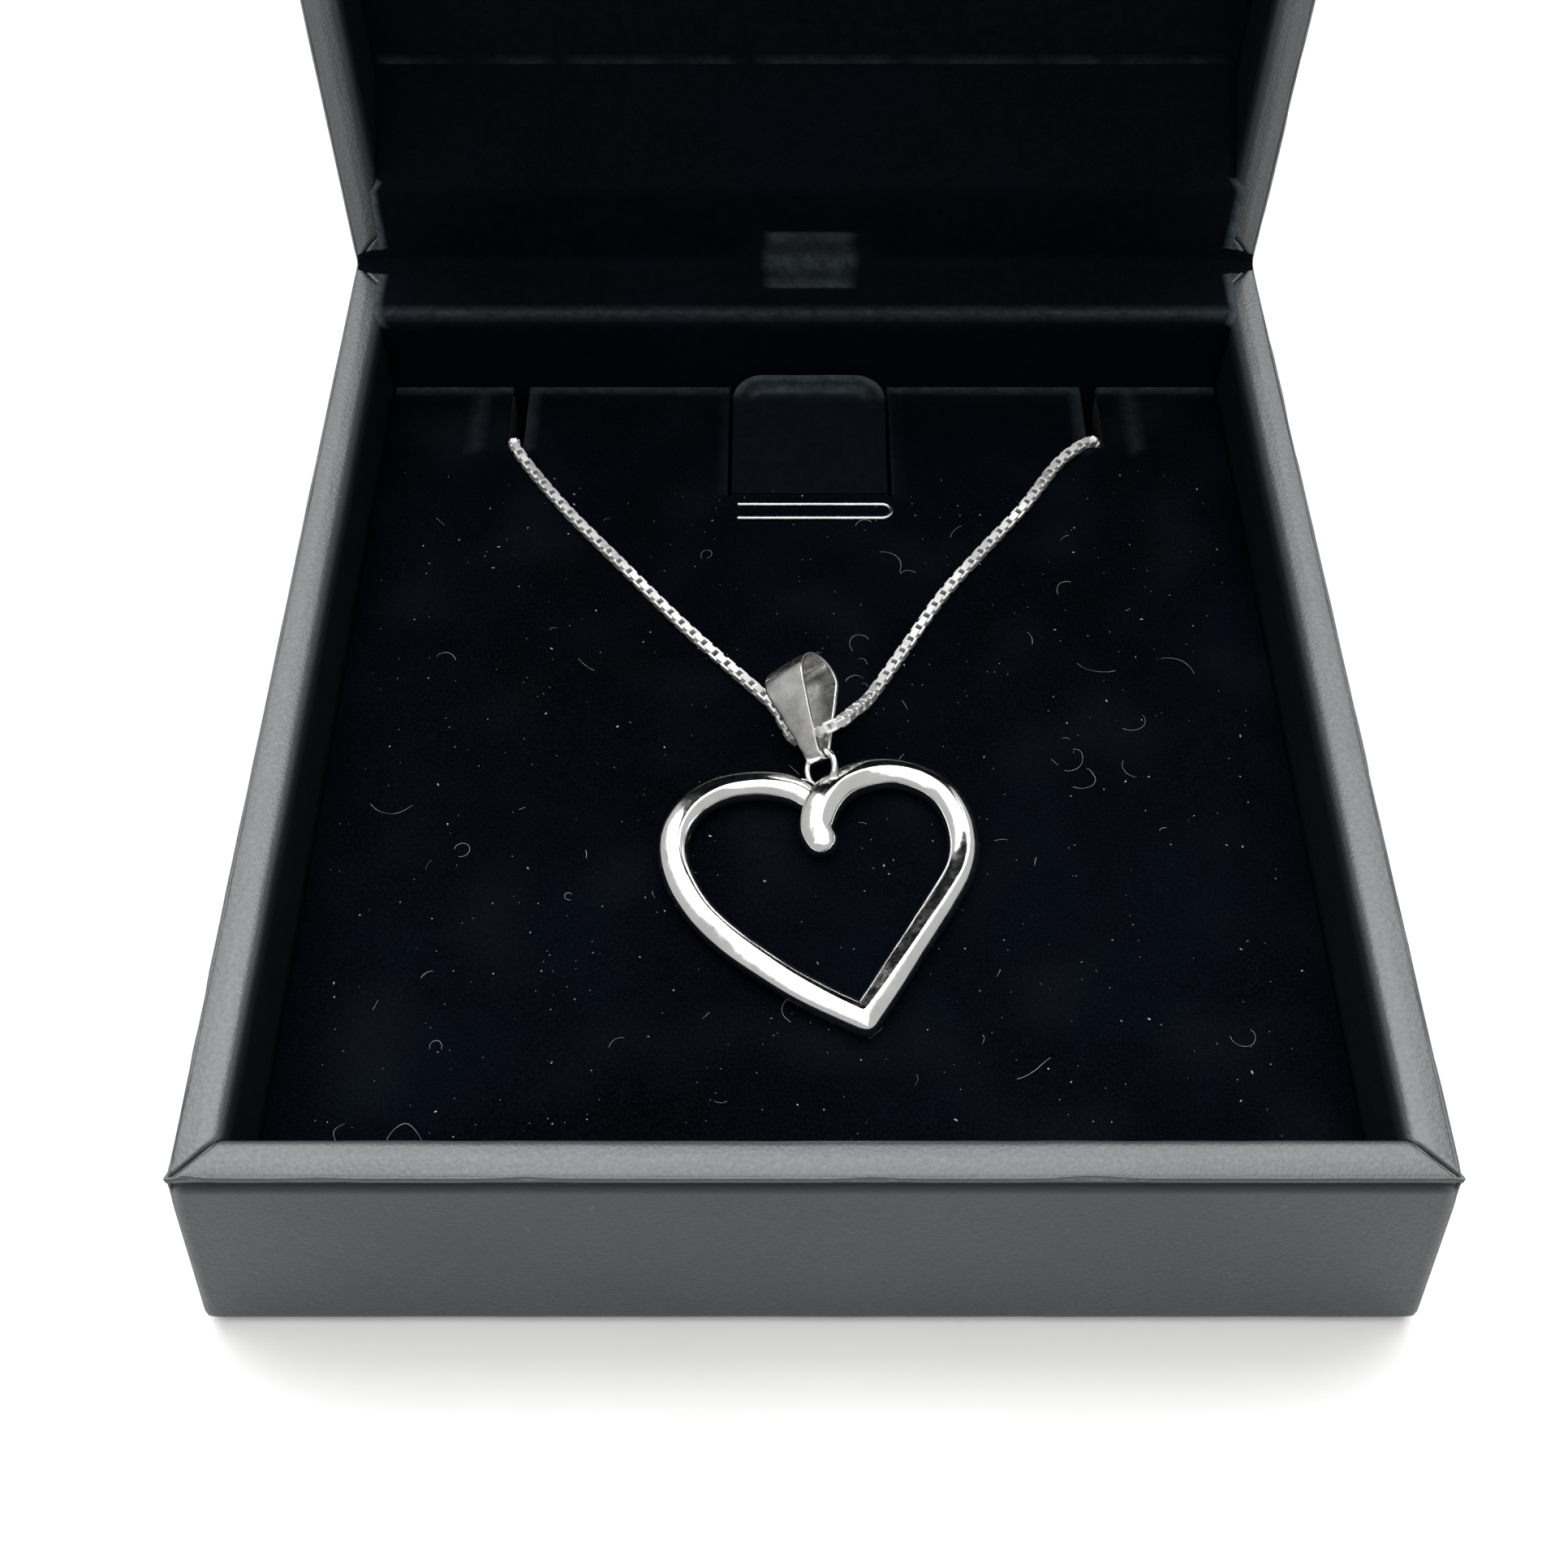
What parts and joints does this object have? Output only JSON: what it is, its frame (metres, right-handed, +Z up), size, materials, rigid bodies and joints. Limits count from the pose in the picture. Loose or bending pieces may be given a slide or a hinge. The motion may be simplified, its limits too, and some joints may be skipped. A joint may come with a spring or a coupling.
{
  "type": "jewellery gift box",
  "caption": "Hinged leatherette jewellery box with a lift-out velvet insert that holds an open-heart pendant on a fine box chain.",
  "frame": {"origin": "centre of the base's underside", "axes": "+Z up, +Y towards the hinge, +X to the right for a person who faces the opening lid"},
  "size_m": [0.0942, 0.1211, 0.1204],
  "materials": {
    "leatherette": "satin, fine grain",
    "velvet": "short pile velvet",
    "foam": "open cell foam",
    "card": "matte",
    "greyboard": "matte",
    "steel": "satin",
    "silver": "polished"
  },
  "bodies": {
    "base": {"base_sheet": "velvet", "base_floor": "greyboard", "base_front_board": "greyboard", "base_right_board": "greyboard", "base_back_board": "greyboard", "base_left_board": "greyboard", "base_front_wrap": "leatherette", "base_right_wrap": "leatherette", "base_back_wrap": "leatherette", "base_left_wrap": "leatherette", "well_lining": "velvet", "insert_ledges": "card", "base_hinge_block": "greyboard", "base_hinge_cloth": "velvet", "base_hinge_leaf": "steel", "snap_spring": "steel", "base_rivets": "steel", "hinge_pin": "steel"},
    "lid": {"lid_top_board": "greyboard", "lid_front_board": "greyboard", "lid_right_board": "greyboard", "lid_back_board": "greyboard", "lid_left_board": "greyboard", "lid_front_wrap": "leatherette", "lid_right_wrap": "leatherette", "lid_back_wrap": "leatherette", "lid_left_wrap": "leatherette", "lid_top_cover": "leatherette", "lid_hinge_block": "greyboard", "lid_hinge_cloth": "velvet", "lid_hinge_leaf": "steel", "lid_rivets": "steel", "lid_pad_card": "card", "lid_pad_foam": "foam", "lid_pad_velvet": "velvet"},
    "insert": {"insert_board": "card", "insert_foam": "foam", "insert_velvet": "velvet", "wire_clip": "steel", "chain": "silver", "chain_hank": "silver", "chain_tail": "silver", "clasp_body": "silver", "clasp_ring": "silver", "end_ring": "silver"},
    "flap": {"flap_card": "card", "flap_velvet": "velvet"},
    "clasp_bolt": {"clasp_trigger": "silver"},
    "bail": {"bail": "silver"},
    "heart": {"heart": "silver", "heart_ring": "silver"}
  },
  "joints": [
    {"name": "lid_hinge", "type": "hinge", "parent": "base", "child": "lid", "pos_m": [0.00035, 0.0493, 0.02215], "axis": [-1, 0, 0], "range_deg": [-91.5, 0]},
    {"name": "insert_lift", "type": "slide", "parent": "base", "child": "insert", "axis": [0, 0, 1], "range_m": [0, 0.03]},
    {"name": "flap_lift", "type": "hinge", "parent": "insert", "child": "flap", "pos_m": [0.00035, 0.0253, 0.014], "axis": [1, 0, 0], "range_deg": [-10, 60]},
    {"name": "clasp_open", "type": "hinge", "parent": "insert", "child": "clasp_bolt", "pos_m": [0.0036, 0.0174, 0.0058], "axis": [0, 0, -1], "range_deg": [0, 50], "stiffness_Nm_per_rad": 0.0002, "springref_deg": -17.19},
    {"name": "bail_swing", "type": "hinge", "parent": "insert", "child": "bail", "pos_m": [0.00036, -0.00639, 0.01721], "axis": [-0.7272, 0.0203, -0.6861], "range_deg": [0, 12]},
    {"name": "heart_swing", "type": "hinge", "parent": "bail", "child": "heart", "pos_m": [0.0007, -0.008, 0.0168], "axis": [-0.7272, 0.0203, -0.6861], "range_deg": [0, 25]}
  ]
}
